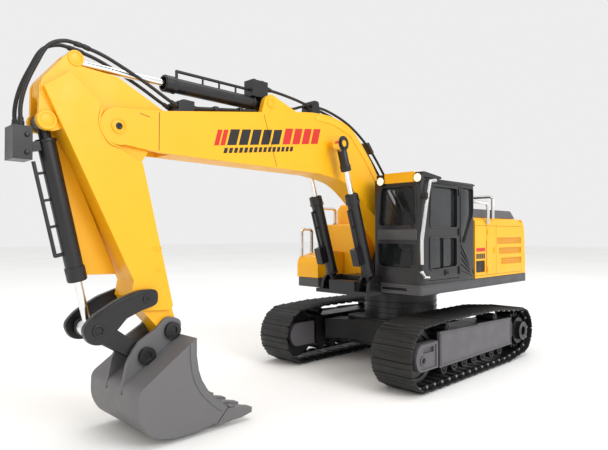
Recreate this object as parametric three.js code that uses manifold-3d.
// A toy crawler excavator at about one sixteenth of the real machine, in millimetres, +Z up.
// The machine faces -Y and its left side, where the cab is, is +X.
// Outlines are drawn in the machine's own terms: [forward, up] from the side, [left, forward] from
// above and [left, up] from the front, with forward measured from the slewing axis.

import * as THREE from "three";
import { mergeVertices } from "three/addons/utils/BufferGeometryUtils.js";
import Module from "manifold-3d";

const wasm = await Module();
wasm.setup();

// ---------------------------------------------------------------- driving dimensions

const SLEW_Y = 122.7; // the slewing axis lies this far behind the middle of the whole machine
const GAP = 0.35; // clearance between neighbouring pieces
const ROUND = 16; // sides of a round bar
const RAIL = 2; // radius of the handrails

const TRACK = { inner: 56, outer: 100, shoe: 5.5, grouser: 1.8, shoes: 44 };
const PULLEYS = [
  { forward: 98.5, up: 31.5, radius: 31 },
  { forward: 57, up: 44.5, radius: 20 },
  { forward: -41, up: 44, radius: 20 },
  { forward: -103, up: 31, radius: 27 },
  { forward: -70, up: 20, radius: 20 },
  { forward: 72, up: 20, radius: 20 },
];
const IDLER = PULLEYS[0];
const SPROCKET = PULLEYS[3];
const FRAME = { inner: 62, outer: 93.5, front: 72, rear: -78, bottom: 20, top: 49 };
const ROLLERS = { count: 7, front: 62, rear: -56, up: 13.2, radius: 5.8 };
const CARRIERS = [57.8, -41.6];
const RING = { radius: 44, bottom: 50, split: 76, top: 84.3 };

const DECK = { bottom: 84.6, top: 94.5, half: 80, rear: -169, front: 80, rightFront: 90 };
const BODY_UP = DECK.top + GAP; // where everything on the deck starts
const CAB = { near: 80, far: 24, front: 80, rear: -25, roof: 198, wall: 3.2 };
const ENGINE = { front: -25 - 1, rear: -146, side: 80, shoulder: 157.5, top: 162 };
const LEFT_EDGE_OF_TANK = -22;

const BOOM_HALF = 12.8;
const FORK_INNER = 10;
const FOOT = [8, 122]; // boom foot pivot
const NOSE = [349.6, 217.6]; // boom to arm pivot
const BOOM_EYE = [133, 230]; // boom cylinders' upper pin
const BOOM_CYLINDER_FOOT = [87.5, 91.5];
const BOOM_CYLINDER_LEFT = 24.4;
const ARM_CYLINDER_REAR = [211.2, 257.6];
const ARM_CYLINDER_EYE = [377.8, 258.4];
const BUCKET_CYLINDER_TOP = [395.4, 215.4];
const LINK_PIVOT = [330.2, 98]; // side links on the arm
const LINK_END = [364.5, 80]; // side links, rod and bucket link meet here
const BUCKET_PIVOT = [308.3, 73.1];
const BUCKET_EAR = [328.6, 57.7];

// ---------------------------------------------------------------- colours

const plastic = (color, roughness = 0.45, metalness = 0) =>
  new THREE.MeshStandardMaterial({ color, roughness, metalness });
const YELLOW = plastic(0xfccb0f, 0.35);
const BLACK = plastic(0x232126, 0.45);
const CHARCOAL = plastic(0x3c3c3e, 0.5);
const DECK_GREY = plastic(0x5a5a5c, 0.5);
const PLATE_GREY = plastic(0x69666a, 0.5);
const BUCKET_GREY = plastic(0x767576, 0.5);
const TRACK_BLACK = plastic(0x191919, 0.7);
const CHROME = plastic(0xd8d8d8, 0.15, 1);
const GLASS = plastic(0xc8d4d8, 0.05);
const LENS = plastic(0xf6f2dc, 0.1);
const RUBBER = plastic(0x151515, 0.6);

// ---------------------------------------------------------------- drawing helpers

const place = (forward, left, up) => new THREE.Vector3(left, SLEW_Y - forward, up);

const SIDE_AXES = [new THREE.Vector3(0, -1, 0), new THREE.Vector3(0, 0, 1), new THREE.Vector3(-1, 0, 0)];
const PLAN_AXES = [new THREE.Vector3(1, 0, 0), new THREE.Vector3(0, -1, 0), new THREE.Vector3(0, 0, -1)];
const FRONT_AXES = [new THREE.Vector3(1, 0, 0), new THREE.Vector3(0, 0, 1), new THREE.Vector3(0, -1, 0)];

const vectors = (points) => points.map(([x, y]) => new THREE.Vector2(x, y));

// A closed outline. A point is [x, y] or [x, y, corner radius]; a radius is held to what its edges allow.
function outline(points) {
  const shape = new THREE.Shape();
  const count = points.length;
  points.forEach(([x, y, radius = 0], i) => {
    const here = new THREE.Vector2(x, y);
    const back = vectors([points[(i + count - 1) % count]])[0].sub(here);
    const on = vectors([points[(i + 1) % count]])[0].sub(here);
    const cut = Math.min(radius, 0.45 * back.length(), 0.45 * on.length());
    const start = here.clone().addScaledVector(back.normalize(), cut);
    const end = here.clone().addScaledVector(on.normalize(), cut);
    if (i) shape.lineTo(start.x, start.y);
    else shape.moveTo(start.x, start.y);
    if (cut) shape.quadraticCurveTo(x, y, end.x, end.y);
  });
  shape.closePath();
  return shape;
}

const shapeOf = (drawn) => (drawn instanceof THREE.Shape ? drawn : outline(drawn));

function extruded(drawn, depth, axes, origin, segments = 4) {
  const geometry = new THREE.ExtrudeGeometry(shapeOf(drawn), {
    depth,
    bevelEnabled: false,
    curveSegments: segments,
  });
  const matrix = new THREE.Matrix4().makeBasis(...axes).setPosition(origin);
  return solid(geometry.applyMatrix4(matrix));
}

// Extrusions of outlines seen from the side, from above and from the front.
const slab = (drawn, left0, left1, segments) =>
  extruded(drawn, left1 - left0, SIDE_AXES, place(0, left1, 0), segments);
const plan = (drawn, up0, up1, segments) =>
  extruded(drawn, up1 - up0, PLAN_AXES, place(0, 0, up1), segments);
const facing = (drawn, forward0, forward1, segments) =>
  extruded(drawn, forward1 - forward0, FRONT_AXES, place(forward0, 0, 0), segments);
const block = (forward0, forward1, left0, left1, up0, up1) =>
  slab([[forward0, up0], [forward1, up0], [forward1, up1], [forward0, up1]], left0, left1);

// Round bar between two points, and one across the machine about [forward, up].
function bar(from, to, radius, sides = ROUND, endRadius = radius) {
  const along = to.clone().sub(from);
  const geometry = new THREE.CylinderGeometry(endRadius, radius, along.length(), sides);
  geometry.translate(0, along.length() / 2, 0);
  const turn = new THREE.Quaternion().setFromUnitVectors(new THREE.Vector3(0, 1, 0), along.normalize());
  geometry.applyQuaternion(turn).translate(from.x, from.y, from.z);
  return solid(geometry);
}
const pin = ([forward, up], left0, left1, radius, sides) =>
  bar(place(forward, left0, up), place(forward, left1, up), radius, sides);

// Tube along points given as [forward, left, up].
function tube(points, radius, sides = 8, steps = 24) {
  const path = new THREE.CatmullRomCurve3(points.map((p) => place(...p)), false, "centripetal");
  const section = new THREE.Shape().absarc(0, 0, radius, 0, 2 * Math.PI);
  const round = new THREE.Shape(section.getPoints(sides / 2).slice(0, -1));
  return solid(new THREE.ExtrudeGeometry(round, { steps, extrudePath: path, curveSegments: sides }));
}

// Rail of straight runs with mitred round bars and ball corners.
function rail(points, radius, sides = 8) {
  const at = points.map((p) => place(...p));
  const pieces = at.slice(1).map((to, i) => bar(at[i], to, radius, sides));
  const balls = at.slice(1, -1).map((p) =>
    solid(new THREE.SphereGeometry(radius * 1.02, sides, 4).translate(p.x, p.y, p.z)),
  );
  return union([...pieces, ...balls]);
}

function solid(geometry) {
  geometry.deleteAttribute("normal");
  geometry.deleteAttribute("uv");
  const merged = mergeVertices(geometry, 1e-4);
  const made = new wasm.Manifold(
    new wasm.Mesh({
      numProp: 3,
      vertProperties: merged.attributes.position.array,
      triVerts: new Uint32Array(merged.index.array),
    }),
  );
  return made;
}

const union = (solids) => solids.reduce((a, b) => a.add(b));
const without = (from, cuts) => cuts.reduce((a, b) => a.subtract(b), from);

const excavator = new THREE.Group();
excavator.name = "excavator";

function add(name, shape, material) {
  const { vertProperties, triVerts } = shape.getMesh();
  const geometry = new THREE.BufferGeometry();
  geometry.setAttribute("position", new THREE.BufferAttribute(vertProperties, 3));
  geometry.setIndex(new THREE.BufferAttribute(triVerts, 1));
  const flat = geometry.toNonIndexed();
  flat.computeVertexNormals();
  const mesh = new THREE.Mesh(flat, material);
  mesh.name = name;
  excavator.add(mesh);
}

// ---------------------------------------------------------------- undercarriage

// Support line of a belt round the pulleys: the outermost point in each direction.
function beltPoints(inset, count) {
  const dense = [];
  for (let i = 0; i < 720; i++) {
    const angle = (i / 720) * 2 * Math.PI;
    const [nx, ny] = [Math.cos(angle), Math.sin(angle)];
    const reach = (p) => p.forward * nx + p.up * ny + p.radius;
    const p = PULLEYS.reduce((best, next) => (reach(next) > reach(best) ? next : best));
    dense.push(new THREE.Vector2(p.forward + (p.radius - inset) * nx, p.up + (p.radius - inset) * ny));
  }
  const loop = new THREE.Path(dense);
  loop.closePath();
  return loop.getSpacedPoints(count).slice(0, -1);
}

function trackBelt(side) {
  const steps = 4 * TRACK.shoes;
  const tip = beltPoints(0, steps);
  const root = beltPoints(TRACK.grouser, steps);
  const outer = tip.map((p, i) => (i % 4 < 2 ? p : root[i]));
  const shape = new THREE.Shape(outer);
  shape.holes.push(new THREE.Path(beltPoints(TRACK.shoe, 2 * TRACK.shoes)));
  return slab(shape, ...across(side, TRACK.inner, TRACK.outer));
}

// The two left-to-right limits of a piece given by its distances from the middle.
const across = (side, near, far) => (side > 0 ? [near, far] : [-far, -near]);

function trackFrame(side) {
  const { inner, outer, front, rear, bottom, top } = FRAME;
  const beam = slab([[rear, bottom], [front, bottom], [front, top], [rear, top]],
    ...across(side, inner + 4, outer));
  const driveArm = slab([[rear + 6, 24, 4], [rear + 6, 40], [SPROCKET.forward - 8, 38, 6],
    [SPROCKET.forward - 8, 24, 6]], ...across(side, inner, inner + 5));
  const pitch = (ROLLERS.front - ROLLERS.rear) / (ROLLERS.count - 1);
  const rollers = [...Array(ROLLERS.count).keys()].map((i) =>
    pin([ROLLERS.front - i * pitch, ROLLERS.up + 2], ...across(side, inner + 6, outer - 2),
      ROLLERS.radius, 14),
  );
  const carriers = CARRIERS.map((forward) =>
    pin([forward, top + 4], ...across(side, inner + 12, outer), 4.2, 12),
  );
  return union([beam, driveArm, ...rollers, ...carriers]);
}

function idlerYoke(side) {
  const cheek = [[80, 20], [112, 20, 9], [118, 32, 6], [112, 45, 9], [80, 45]];
  const fork = union([
    slab(cheek, ...across(side, 90.5, 96.5)),
    slab(cheek, ...across(side, 62, 67)),
    pin([IDLER.forward, IDLER.up], ...across(side, 62, 96.5), 4, 16),
  ]);
  const slot = slab([[86, 36], [104, 36, 2], [104, 41, 2], [86, 41]], ...across(side, 94, 98));
  const bolt = pin([104, 30], ...across(side, 94, 98), 2.6, 12);
  return without(fork, [slot, bolt]);
}

function idlerWheel(side) {
  const { forward, up, radius } = IDLER;
  const rim = radius - TRACK.shoe - 0.4;
  const wheel = union([
    pin([forward, up], ...across(side, 71, 86), rim, 36),
    pin([forward, up], ...across(side, 67 + GAP, 90.5 - GAP), 9, ROUND),
  ]);
  return without(wheel, [pin([forward, up], ...across(side, 60, 98), 4 + GAP, 16)]);
}

function sprocketWheel(side) {
  const { forward, up, radius } = SPROCKET;
  const rim = radius - TRACK.shoe - 0.4;
  const wheel = union([
    pin([forward, up], ...across(side, 72, 87), rim, 32),
    pin([forward, up], ...across(side, 67 + GAP, 94), 15, 24),
    pin([forward, up], ...across(side, 90, 99.5), 10.5, 24),
  ]);
  return without(wheel, [pin([forward, up], ...across(side, 93, 101), 5.5, 16)]);
}

function sideCover(side) {
  const cover = [[-77, 19], [76, 19], [76, 52.2], [2.6, 49.9], [1.6, 51.1], [-77, 48.8]];
  return slab(cover, ...across(side, FRAME.outer + GAP, 97));
}

function chassisFrame() {
  const legs = [1, -1].flatMap((end) => [1, -1].map((side) =>
    plan([[20 * side, 44 * end], [8 * side, 20 * end], [61.6 * side, 36 * end], [61.6 * side, 62 * end]],
      24, 46)));
  const belly = plan([[-46, -46, 12], [46, -46, 12], [46, 46, 12], [-46, 46, 12]], 20, RING.bottom);
  const crossBeam = block(-30, 30, -61.6, 61.6, 26, 44);
  const post = bar(place(0, 0, RING.bottom - 1), place(0, 0, RING.split - GAP), RING.radius - 3, 40);
  return union([belly, crossBeam, post, ...legs]);
}

function slewRing() {
  return bar(place(0, 0, RING.split), place(0, 0, RING.top), RING.radius, 44);
}

add("chassis_frame", chassisFrame(), BLACK);
for (const [name, side] of [["left", 1], ["right", -1]]) {
  add(`track_frame_${name}`, trackFrame(side), BLACK);
  add(`idler_yoke_${name}`, idlerYoke(side), PLATE_GREY);
  add(`side_cover_${name}`, sideCover(side), PLATE_GREY);
  add(`track_${name}`, trackBelt(side), TRACK_BLACK);
  add(`idler_${name}`, idlerWheel(side), BLACK);
  add(`sprocket_${name}`, sprocketWheel(side), BLACK);
}
add("slew_ring", slewRing(), BLACK);

// ---------------------------------------------------------------- deck and bodywork

const NOTCH = { left: 20, right: -46, rear: 56 };

function deck() {
  const { half, rear, front, rightFront, bottom, top } = DECK;
  const edge = [
    [half, front, 4], [NOTCH.left, front], [NOTCH.left, NOTCH.rear], [NOTCH.right, NOTCH.rear],
    [NOTCH.right, rightFront, 2], [-half, rightFront, 6], [-half, rear + 8, 6], [-half + 10, rear, 8],
    [half - 10, rear, 8], [half, rear + 8, 6],
  ];
  const slot = block(front - 3, front + 1, 33, 63, 88, 90.6);
  return without(plan(edge, bottom, top), [slot]);
}

function boomBracket() {
  const frontBar = block(80.6, 104, -36, 33, 82, 86);
  const stem = block(56.6, 82, -19, 19.4, 84.6, 100);
  const tread = block(-14, 70, -19, 19, BODY_UP, 100);
  const cheek = [[-12, 98], [34, 98], [30, 112], [22, 126, 8], [8, 138, 10], [-6, 126, 8]];
  const boomCheeks = [1, -1].map((side) => slab(cheek, ...across(side, 13.6, 19)));
  const lug = [[80.8, 84], [101, 84], [99, 95, 3], [92, 101, 4], [82.6, 101, 4], [80.8, 96]];
  const lugs = [1, -1].flatMap((side) => [-1, 1].map((inner) => {
    const middle = BOOM_CYLINDER_LEFT + inner * 6.4;
    return slab(lug, ...across(side, middle - 1.6, middle + 1.6));
  }));
  const nose = block(94, 104, -17, 17, 84, 96);
  return without(union([frontBar, stem, tread, nose, ...boomCheeks, ...lugs]), [
    pin(FOOT, -20, 20, 4 + GAP, 16),
    pin(BOOM_CYLINDER_FOOT, -36, 36, 2.4 + GAP, 12),
  ]);
}

function engineHousing() {
  const { front, rear, side, shoulder, top } = ENGINE;
  const section = [[LEFT_EDGE_OF_TANK + GAP, BODY_UP], [side, BODY_UP], [side, shoulder], [side - 5, top],
    [LEFT_EDGE_OF_TANK + GAP, top]];
  const louvres = [[-79, 132], [-84, 120.2], [-89, 108]].map(([start, low], i) =>
    slab([[-145, low], [start, low], [start, low + 7.4], [-145, low + 7.4]].map(([f, u]) => [f, u, 1]),
      side - 1.4, side + 1));
  const vent = block(-49, -28, side - 2, side + 1, 101, 114);
  const seam = block(-54, -53, side - 0.8, side + 1, BODY_UP + 3, shoulder - 1);
  return without(facing(section, rear, front), [...louvres, vent, seam]);
}

function counterweight() {
  const profile = [[-146.4, BODY_UP], [-168, BODY_UP], [-163, 99, 3], [-158.5, 107], [-156.6, 122],
    [-155.6, 148, 5], [-152, 158, 6], [-146.4, 161]];
  const body = slab(profile, -DECK.half, DECK.half);
  const corners = plan([[-80, -140], [-80, -159.5, 4], [-72, -168, 6], [72, -168, 6], [80, -159.5, 4],
    [80, -140]], 90, 170);
  return body.intersect(corners);
}

function hoodTop() {
  const profile = [[-27, ENGINE.top + GAP], [-27, 171.5, 2], [-125, 171.5, 3], [-137, ENGINE.top + GAP]];
  return slab(profile, LEFT_EDGE_OF_TANK + 2, 75.4);
}

function tankBody() {
  const profile = [[45, BODY_UP], [45, 155, 3], [20, 155], [20, 180, 4], [-130, 180, 8], [-146, 168, 6],
    [-146, BODY_UP]];
  const edge = [[-DECK.half, 90], [LEFT_EDGE_OF_TANK, 90], [LEFT_EDGE_OF_TANK, 180],
    [-DECK.half + 6, 180], [-DECK.half, 172]];
  return slab(profile, -DECK.half, LEFT_EDGE_OF_TANK).intersect(facing(edge, -150, 50));
}

function toolBox() {
  const profile = [[89.6, BODY_UP], [89.6, 112, 3], [86, 117.5], [64, 122.5], [46, 122.5], [46, BODY_UP]];
  return slab(profile, -DECK.half + 0.4, NOTCH.right - 1);
}

function rearRail() {
  return rail([[-51.4, 82.4, 155], [-51.4, 82.4, 175.5], [-48.5, 82.2, 178.4], [-33, 78, 179.6],
    [-29.5, 72, 180], [-29.5, 72, 171.5 + GAP]], RAIL);
}

function hoodRail() {
  return rail([[-72.4, 78.2, 161.6], [-72.4, 78.2, 184.5], [-72.4, 75.7, 187], [-72.4, 42, 187],
    [-72.4, 40, 185], [-72.4, 40, 171.5 + GAP]], RAIL);
}

function toolBoxRail() {
  return rail([[86.4, -76, 118.4], [86.4, -76, 146.5], [83.9, -76, 149], [72.5, -76, 149], [70, -76, 146.5],
    [70, -76, 122]], RAIL);
}

function tankRail() {
  return rail([[58, -75, 122.5 + GAP], [58, -75, 171.5], [55.5, -75, 174], [32.5, -75, 174],
    [30, -75, 171.5], [30, -75, 155 + GAP]], RAIL);
}

add("deck", deck(), DECK_GREY);
add("boom_bracket", boomBracket(), BLACK);
add("engine_housing", engineHousing(), YELLOW);
add("counterweight", counterweight(), YELLOW);
add("hood_top", hoodTop(), PLATE_GREY);
add("tank_body", tankBody(), YELLOW);
add("tool_box", toolBox(), YELLOW);
add("rear_rail", rearRail(), BLACK);
add("hood_rail", hoodRail(), BLACK);
add("tool_box_rail", toolBoxRail(), BLACK);
add("tank_rail", tankRail(), BLACK);

// ---------------------------------------------------------------- cab

const DOOR = { front: 69, rear: 9, bottom: 98, top: 194, thick: 2.6 };

function cabShell() {
  const { near, far, front, rear, roof, wall } = CAB;
  const footprint = [[near, front, 7], [far, front, 2], [far, rear, 2], [near, rear, 4]];
  const shell = plan(footprint, BODY_UP, roof);
  const inside = block(rear + wall, front - wall, far + wall, near - wall, 99, roof - 3);
  const windshield = facing([[30, 152, 3], [74, 152, 3], [73, 190, 4], [33, 190, 4]], front - 6, front + 1);
  const lower = facing([[29, 111, 6], [72, 111, 6], [72, 134, 2], [29, 134, 2]], front - 6, front + 1);
  const doorway = slab([[DOOR.rear, DOOR.bottom], [DOOR.front, DOOR.bottom, 3], [DOOR.front, DOOR.top, 3],
    [DOOR.rear, DOOR.top, 3]], near - wall - 1, near + 1);
  const quarter = slab([[-20, 192, 2], [5, 193, 2], [5, 136, 2], [1, 134], [-20, 164, 2]],
    near - 1.4, near + 1);
  const farSide = slab([[43, 152, 3], [66, 152, 3], [62, 190, 3], [43, 190, 3]], far - 1, far + wall + 1);
  return without(shell, [inside, windshield, lower, doorway, quarter, farSide]);
}

function door() {
  const { front, rear, bottom, top, thick } = DOOR;
  const leaf = slab([[rear + 0.5, bottom + 0.5], [front - 0.5, bottom + 0.5, 3], [front - 0.5, top - 0.5, 3],
    [rear + 0.5, top - 0.5, 3]], CAB.near - thick, CAB.near);
  const upper = slab([[13, 150, 2], [65, 150, 4], [63, 191, 2], [13, 191, 2]], 70, 90);
  const lower = slab([[14, 110, 2], [65, 108, 5], [65, 140, 2], [14, 140, 2]], 70, 90);
  const latch = block(30, 37, CAB.near - 0.5, CAB.near + 1.6, 102.5, 106.5);
  return union([without(leaf, [upper, lower]), latch]);
}

const pane = (drawn, left) => slab(drawn, left, left + 1);

function cabFurniture() {
  const seat = union([
    block(8, 44, 38, 66, 112, 122),
    slab([[4, 116], [16, 116], [10, 160, 4], [2, 160, 4]], 38, 66),
    slab([[3, 158], [9, 158], [8, 174, 3], [3, 174, 3]], 45, 59),
    block(14, 38, 42, 62, 99 + GAP, 113),
  ]);
  const consoles = [30, 68].map((left) => block(14, 54, left, left + 6, 118, 128));
  const levers = [33, 71].map((left) =>
    bar(place(50, left, 127), place(54, left, 140), 1.6, 8));
  const joining = block(20, 34, 30, 74, 118, 121.5);
  return union([seat, ...consoles, ...levers, joining]);
}

function roofCap() {
  const profile = [[46, CAB.roof + GAP], [80, CAB.roof + GAP], [80, 203.4, 1], [76, 203.6], [46, 200.4, 1]];
  return slab(profile, 27, 81.5);
}

function visorPanel() {
  const panel = [[39, 193.8], [73.5, 193.8], [73.5, 203.8, 1], [39, 203.8, 1]];
  return facing(panel, 80 + GAP, 83);
}

const lamp = (left, up) => union([
  bar(place(80 + GAP, left, up), place(84, left, up), 3.6, 16, 4),
  bar(place(83.5, left, up), place(85.4, left, up), 3.4, 16, 2),
]);

function grabRail() {
  return rail([[62, 82, 195.5], [62, 84.5, 195.7], [72, 84.5, 194.3], [79.6, 85, 171], [86.4, 84.5, 138],
    [86.6, 84.5, 108], [82, 84.5, 103], [75, 84.5, 102.4], [75, 82, 102.4]], 1.7, 6);
}

add("cab_shell", cabShell(), CHARCOAL);
add("cab_door", door(), CHARCOAL);
add("door_glass", pane([[12, 108.6, 3], [67, 106.6, 5], [67, 192.4, 3], [12, 192.4, 3]],
  CAB.near - DOOR.thick - GAP - 1), GLASS);
add("windshield", facing([[27.6, 109, 4], [74.6, 109, 4], [74.6, 192, 4], [31, 192, 4]], 75.4, 76.4), GLASS);
add("right_pane", pane([[43.4, 152.4, 3], [65.6, 152.4, 3], [61.6, 189.6, 3], [43.4, 189.6, 3]], 25), GLASS);
add("cab_seat", cabFurniture(), BLACK);
add("roof_cap", roofCap(), BLACK);
add("visor_panel", visorPanel(), YELLOW);
add("cab_lamp_left", lamp(78, 197.4), LENS);
add("cab_lamp_right", lamp(34.4, 196.4), LENS);
add("grab_rail", grabRail(), CHROME);

// ---------------------------------------------------------------- boom, arm and bucket

function boomOutline() {
  const shape = new THREE.Shape();
  shape.moveTo(FOOT[0] + 14, FOOT[1] - 6);
  shape.splineThru(vectors([[48, 148], [78, 172], [112, 194], [150, 201]]));
  shape.lineTo(318, 202.6);
  shape.lineTo(NOSE[0] - 6, NOSE[1] - 12.4);
  shape.absarc(NOSE[0], NOSE[1], 13, -1.9, 1.35, false);
  shape.lineTo(314, 233.8);
  shape.lineTo(222, 248);
  shape.lineTo(176, 255.4);
  shape.splineThru(vectors([[156, 257.8], [130, 257.4], [102, 249], [74, 223], [59, 204]]));
  shape.lineTo(20, 161);
  shape.lineTo(FOOT[0] - 13, FOOT[1] + 8);
  shape.absarc(FOOT[0], FOOT[1], 15, 2.6, -0.4 + 2 * Math.PI, false);
  return shape;
}

function boom() {
  const body = slab(boomOutline(), -BOOM_HALF, BOOM_HALF, 8);
  const lug = [[222, 247], [218, 261, 3], [211, 266, 4], [204, 263, 3], [178, 254]];
  const lugs = [1, -1].map((side) => slab(lug, ...across(side, 8, BOOM_HALF)));
  const fork = block(309, 366, -FORK_INNER, FORK_INNER, 190, 250);
  const nosePin = pin(NOSE, -BOOM_HALF, BOOM_HALF, 3.8, 16);
  const cut = without(union([body, ...lugs]), [fork, pin(ARM_CYLINDER_REAR, -20, 20, 2.4 + GAP, 12)]);
  return union([cut, nosePin, pin(BOOM_EYE, -29, 29, 3.4, 16), pin(FOOT, -18.6, 18.6, 4, 16)]);
}

function arm() {
  const plate = [[398.4, 236.1], [382.7, 248.2], [362, 231.4, 3], [365, 217, 8], [357, 204, 6],
    [348.8, 201.9], [331.7, 193.9], [307.1, 91.3], [308.5, 88], [333.4, 89.6], [340.1, 99.9], [338, 110.9]];
  const upper = [[399.4, 232], [399.2, 240.5, 3], [382.5, 261], [374, 254], [349, 252.1], [314.3, 234.6],
    [313, 222], [331.7, 193.9], [345, 190], [366, 172.8], [391.6, 222]];
  const lower = [[345, 192], [331.7, 193.9], [307.1, 91.3], [302, 76, 3], [304, 67.5, 3], [313, 67, 3],
    [318, 76], [340, 99.9], [338, 110.9], [366, 172.8]];
  const bracket = [[399, 240], [386, 211], [392, 208.8, 2], [399.4, 210.6], [400.2, 220], [399.9, 238, 2]];
  const web = slab([[342, 115], [367, 115.6], [391, 209], [386, 214], [366, 172]], -9.4, -6.4);
  const body = union([
    slab(upper, -9.6, 9.6),
    slab(lower, -9.6, 9.6),
    pin(ARM_CYLINDER_EYE, -9.6, 9.6, 5.4, 20),
    web,
    ...[1, -1].map((side) => slab(plate, ...across(side, 9.4, BOOM_HALF))),
    ...[1, -1].map((side) => slab(bracket, ...across(side, 6.2, 9.2))),
    ...[1, -1].map((side) => pin(BUCKET_CYLINDER_TOP, ...across(side, 6.2, 9.8), 6.4, 20)),
    pin(LINK_PIVOT, -16.8, 16.8, 2.1, 12),
  ]);
  return without(body, [
    slab([[340, 240], [372, 246], [372, 262], [340, 262]], -4.2, 4.2),
    pin(ARM_CYLINDER_EYE, -4.6, 4.6, 8, 20),
    pin(ARM_CYLINDER_EYE, -10, 10, 2.4 + GAP, 12),
    pin(BUCKET_CYLINDER_TOP, -6.2, 6.2, 7.6, 16),
    pin(BUCKET_CYLINDER_TOP, -10, 10, 2.4 + GAP, 12),
    pin(NOSE, -BOOM_HALF - 1, BOOM_HALF + 1, 3.8 + GAP, 16),
    pin(BUCKET_PIVOT, -10, 10, 3 + GAP, 12),
  ]);
}

const SIDE_LINK = [[321.6, 93.6, 4], [321.6, 104.6, 6], [336, 104.6, 3], [352, 99.4, 3], [368, 90.6, 4],
  [376, 82, 5], [371, 71.6, 5], [361, 70, 4], [352, 78.6], [345, 86], [334, 90.4]];

function sideLinks() {
  const plates = [1, -1].map((side) => slab(SIDE_LINK, ...across(side, BOOM_HALF + GAP, 16.8)));
  const joined = union([...plates, pin(LINK_END, -16.8, 16.8, 2.8, 14)]);
  return without(joined, [pin(LINK_PIVOT, -18, 18, 2.1 + GAP, 12)]);
}

function bucketLink() {
  const cheek = [[370.5, 76, 5], [370.5, 85, 5], [361, 87, 4], [346, 76], [333, 66], [324, 62, 4],
    [323.4, 53.4, 4], [331.6, 53, 3], [352, 65.6]];
  const cheeks = [1, -1].map((side) => slab(cheek, ...across(side, 5.4, 9.2)));
  const spacer = pin([345, 68.4], -5.6, 5.6, 4, 14);
  return without(union([...cheeks, spacer]), [
    pin(LINK_END, -10, 10, 2.8 + GAP, 14),
    pin(BUCKET_EAR, -10, 10, 3.9, 16),
  ]);
}

const BUCKET = { half: 37.3, wall: 2.4 };
const PIN = { shaft: 2.9, head: 6.2, socket: 3.4, inner: 13.15, outer: 16 };
const MOUTH = [[275.1, 14.8], [285.9, 23.8], [292.9, 31.1], [298.1, 39.3], [300.7, 46.8], [302.4, 57.8],
  [302.4, 69.8]];

function bucketShell() {
  const back = [[338.8, 45.2, 4], [346.4, 40, 7], [346.8, 22, 10], [338, 8, 8], [322, 3.6, 6],
    [299.7, 3.4, 6], [284.1, 5.9]];
  const inside = [[270, 20], [277.5, 11.6], [284.6, 8.4], [299.8, 5.9, 6], [321, 6.1, 6], [336, 10, 8],
    [344, 23, 9], [343.8, 38.6, 6], [337, 43.4, 4], [304.6, 65.2], [296, 68.6], [262, 60]];
  const scoop = slab([...MOUTH, ...back], -BUCKET.half, BUCKET.half, 6);
  const hollow = slab(inside, -BUCKET.half + BUCKET.wall, BUCKET.half - BUCKET.wall, 6);
  const ear = [[299, 80, 6], [312, 84, 6], [320, 76], [337, 66, 8], [343, 54], [347.4, 34], [343, 31],
    [330, 48], [302.6, 66]];
  const ears = [1, -1].map((side) => slab(ear, ...across(side, 10.2, BOOM_HALF)));
  const reliefs = [pin(BUCKET_PIVOT, -10, 10, 7.6, 20), pin(BUCKET_EAR, -9.6, 9.6, 6.6, 20)];
  const bores = [BUCKET_PIVOT, BUCKET_EAR].map((at) => pin(at, -14, 14, PIN.shaft + GAP, 14));
  const recesses = [BUCKET_PIVOT, BUCKET_EAR].flatMap((at) =>
    [1, -1].map((side) => pin(at, ...across(side, BOOM_HALF, PIN.outer + 1), PIN.head + GAP, 20)));
  return without(union([scoop, ...ears]), [hollow, ...reliefs, ...bores, ...recesses]);
}

// Pin through both ears, with a hollow head on each side.
function bucketPin(at) {
  const { shaft, head, socket, inner, outer } = PIN;
  const heads = [1, -1].map((side) => pin(at, ...across(side, inner, outer), head, 20));
  const sockets = [1, -1].map((side) => pin(at, ...across(side, outer - 1.2, outer + 1), socket, 6));
  return without(union([pin(at, -inner - 1, inner + 1, shaft, 14), ...heads]), sockets);
}

const TEETH = [-34, -17, 0, 17, 34];

function cuttingEdge() {
  const lip = [[281.6, 4], [283.9, 5.6], [274.8, 14.5], [272.6, 13.2]];
  const strip = slab(lip.map(([f, u]) => [f - 0.35, u - 0.3]), -BUCKET.half, BUCKET.half);
  const tooth = [[281.4, 4.1], [262, 4.1], [252.3, 6], [252.2, 9.8], [262, 12.4], [272.4, 13.4]];
  return union([strip, ...TEETH.map((left) => slab(tooth, left - 3.3, left + 3.3))]);
}

// ---------------------------------------------------------------- cylinders

const across3 = ([forward, up], left) => place(forward, left, up);
const length2 = (v) => Math.hypot(v[0], v[1]);
const unit = (from, to) => {
  const v = [to[0] - from[0], to[1] - from[1]];
  return v.map((x) => x / length2(v));
};
const toward = (from, to, distance) => from.map((x, i) => x + unit(from, to)[i] * distance);

// A barrel hollow for its rod, with its foot eye, gland collar and foot pin.
function barrel({ foot, eye, left, length, radius, bore, eyeHalf, pinHalf }) {
  const spot = (along) => across3(toward(foot, eye, along), left);
  const body = union([
    bar(spot(0), spot(12), radius - 2, 12),
    bar(spot(11), spot(length), radius, 20),
    bar(spot(length - 7), spot(length), radius + 0.7, 20),
    pin(foot, left - eyeHalf, left + eyeHalf, 5, 16),
    pin(foot, left - pinHalf, left + pinHalf, 2.4, 12),
  ]);
  return without(body, [bar(spot(15), spot(length + 1), bore, 16)]);
}

function rod({ foot, eye, left }, { start, radius, eyeRadius, eyeHalf, sleeve = 0 }) {
  const spot = (back) => across3(toward(eye, foot, back), left);
  const reach = length2([eye[0] - foot[0], eye[1] - foot[1]]) - start;
  const pieces = [
    bar(spot(reach), spot(0), radius, 16),
    pin(eye, left - eyeHalf, left + eyeHalf, eyeRadius, 20),
  ];
  if (sleeve) pieces.push(bar(spot(sleeve), spot(0), radius + 1.2, 16));
  return union(pieces);
}

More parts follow.
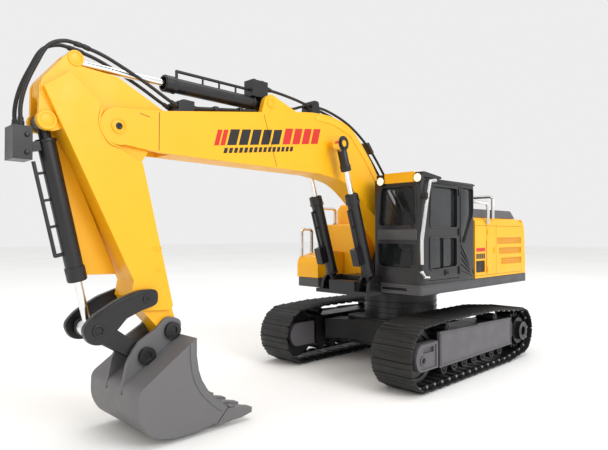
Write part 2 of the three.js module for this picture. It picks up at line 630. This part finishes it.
const boomCylinder = (side) => ({
  foot: BOOM_CYLINDER_FOOT, eye: BOOM_EYE, left: side * BOOM_CYLINDER_LEFT, length: 95, radius: 6,
  bore: 5, eyeHalf: 4.4, pinHalf: 8.4,
});
const ARM_CYLINDER = {
  foot: ARM_CYLINDER_REAR, eye: ARM_CYLINDER_EYE, left: 0, length: 97, radius: 5.8, bore: 4.9, eyeHalf: 7.4,
  pinHalf: 12.6,
};
const BUCKET_CYLINDER = {
  foot: BUCKET_CYLINDER_TOP, eye: LINK_END, left: 0, length: 105, radius: 5.8, bore: 4.9, eyeHalf: 5.6,
  pinHalf: 9.2,
};

// A feed pipe beside a barrel, from a union block to the gland end. Distances run along the barrel, and
// off is how far the pipe stands from the barrel's middle, positive above or behind it.
function feedPipe({ foot, eye, left }, { from, to, off, posts, union: [start, end, reach, half] }) {
  const [df, du] = unit(foot, eye);
  const spot = (along, out) => [foot[0] + df * along - du * out, foot[1] + du * along + df * out];
  const point = (along, out) => [spot(along, out)[0], left, spot(along, out)[1]];
  const wall = Math.sign(off) * 5.2;
  const run = rail([point(to, wall), point(to, off), point(from, off)], 1.3, 6);
  const ties = posts.map((along) => rail([point(along, wall), point(along, off)], 0.9, 6));
  const body = slab([spot(start, wall), spot(end, wall), spot(end, reach), spot(start, reach)],
    left - half, left + half);
  return union([run, ...ties, body]);
}

const BOOM_PIPE = { from: 40, to: 81, off: -9.6, posts: [64], union: [26, 43, -15, 4] };
const ARM_PIPE = { from: 13, to: 86, off: 11.4, posts: [29, 46, 62], union: [-2, 15, 19.6, 6] };
const BUCKET_PIPE = { from: 24, to: 86, off: 10.4, posts: [32, 49.5, 67], union: [12, 18, 13, 4] };

// The block on the bucket cylinder that both of its hoses run down into.
function hoseBlock() {
  return slab([[403.2, 189.6], [414.4, 189.6], [414.4, 210.3], [403.2, 210.3]], -8.2, 8.2);
}

add("boom", boom(), YELLOW);
add("arm", arm(), YELLOW);
add("side_links", sideLinks(), BLACK);
add("bucket_link", bucketLink(), BLACK);
add("bucket", bucketShell(), BUCKET_GREY);
add("cutting_edge", cuttingEdge(), BUCKET_GREY);
add("bucket_pin", bucketPin(BUCKET_PIVOT), BLACK);
add("link_pin", bucketPin(BUCKET_EAR), BLACK);
for (const [name, side] of [["left", 1], ["right", -1]]) {
  const spec = boomCylinder(side);
  add(`boom_barrel_${name}`, barrel(spec).add(feedPipe(spec, BOOM_PIPE)), BLACK);
  const eye = without(rod(spec, { start: 38, radius: 2.7, eyeRadius: 7, eyeHalf: 4, sleeve: 27 }),
    [pin(BOOM_EYE, spec.left - 5, spec.left + 5, 3.4 + GAP, 16)]);
  add(`boom_rod_${name}`, eye, CHROME);
}
add("arm_barrel", barrel(ARM_CYLINDER).add(feedPipe(ARM_CYLINDER, ARM_PIPE)), BLACK);
add("arm_rod", rod(ARM_CYLINDER, { start: 40, radius: 2.7, eyeRadius: 5, eyeHalf: 4.2 })
  .add(pin(ARM_CYLINDER_EYE, -9.4, 9.4, 2.4, 12)), CHROME);
add("bucket_barrel", barrel(BUCKET_CYLINDER).add(feedPipe(BUCKET_CYLINDER, BUCKET_PIPE)).add(hoseBlock()),
  BLACK);
add("bucket_rod", without(rod(BUCKET_CYLINDER, { start: 40, radius: 2.7, eyeRadius: 6, eyeHalf: 4.6 }),
  [pin(LINK_END, -6, 6, 2.8 + GAP, 14)]), CHROME);

// ---------------------------------------------------------------- hoses

const HOSE = 1.25;
const HOSE_LEFTS = { left: 5.6, right: -5.6 };

// The pair of pipes under the arm cylinder, from behind its lugs to the junction that the hoses leave.
function boomTopPipes() {
  const runs = Object.values(HOSE_LEFTS).map((left) => rail([[222, left, 249.8], [288, left, 241.4]], 1.5));
  const junction = slab([[286, 238.6], [300, 236.4], [300, 244.8], [296, 246.8, 2], [286, 246.4]], -8, 8);
  return union([...runs, junction]);
}

// Saddle on the boom's back that holds the hoses to the cab side.
function hoseClamp() {
  const saddle = slab([[143.6, 258.9], [154.6, 258.7], [153, 271.4, 2], [145.4, 271.4, 2]], -7.4, 7.4);
  const bores = [3.6, -3.6].map((left) =>
    bar(place(140, left, 266.6), place(158, left, 266.6), HOSE + GAP, 12));
  return without(saddle, bores);
}

add("boom_pipes", boomTopPipes(), BLACK);
add("hose_clamp", hoseClamp(), BLACK);

const FROM_BLOCK = {
  left: [[208.4, 3.6, 271.6], [192, 3.6, 270.8], [174, 3.6, 269]],
  right: [[208.4, -3.6, 266], [196, -3.6, 264.6], [182, -3.6, 260.6], [170, -3.6, 262]],
};
const ALONG_BOOM = [[156, 266.6], [143, 266.6], [128, 265.2], [96, 256], [63, 236], [36, 209], [18, 188],
  [0, 168], [-14, 157], [-25.4, 152]];

for (const [name, left] of Object.entries(HOSE_LEFTS)) {
  const side = Math.sign(left) * 3.6;
  add(`boom_hose_${name}`, tube([...FROM_BLOCK[name], ...ALONG_BOOM.map(([f, u]) => [f, side, u])],
    HOSE, 8, 40), RUBBER);
  add(`arm_hose_${name}`, tube([[300 + 2 * GAP, left, 241.4], [308, left, 244.6], [325, left, 253],
    [342, left, 260.2], [358, left, 266], [372, left, 269]], HOSE), RUBBER);
  add(`bucket_hose_${name}`, tube([[372 + GAP, left, 269], [383, left, 269.6], [393, left, 264.6],
    [401, left, 250], [407, left, 235], [409.6, left, 222], [409.4, left, 210.7]], HOSE), RUBBER);
}

export default excavator;
